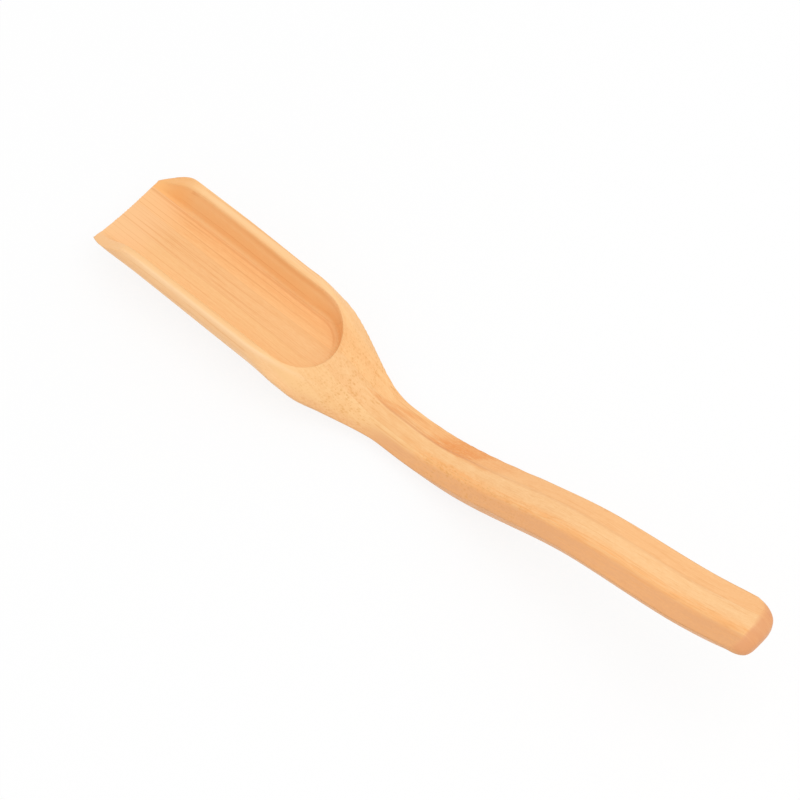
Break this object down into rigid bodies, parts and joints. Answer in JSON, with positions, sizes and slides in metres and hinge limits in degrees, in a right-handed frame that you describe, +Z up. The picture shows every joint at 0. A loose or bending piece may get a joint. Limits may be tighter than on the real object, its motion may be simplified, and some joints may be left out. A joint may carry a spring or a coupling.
{
  "type": "tea scoop",
  "caption": "Carved bamboo tea scoop: an open straight-sided trough with a rounded back, a narrow neck and an S-curved handle, made of strips glued side by side.",
  "frame": {"origin": "below the middle of the length, on the plane of symmetry, in the plane of the level underside that the scoop rests on", "axes": "+X along the length from the trough's front edge to the handle's end, +Y across to the far wall, +Z up, square to the rim"},
  "size_m": [0.1749, 0.0252, 0.0336],
  "materials": {
    "bamboo": "satin, thin clear oil"
  },
  "bodies": {
    "root": {"centre_strip": "bamboo", "near_inner_strip": "bamboo", "far_inner_strip": "bamboo", "near_wall_strip": "bamboo", "far_wall_strip": "bamboo"}
  },
  "joints": []
}
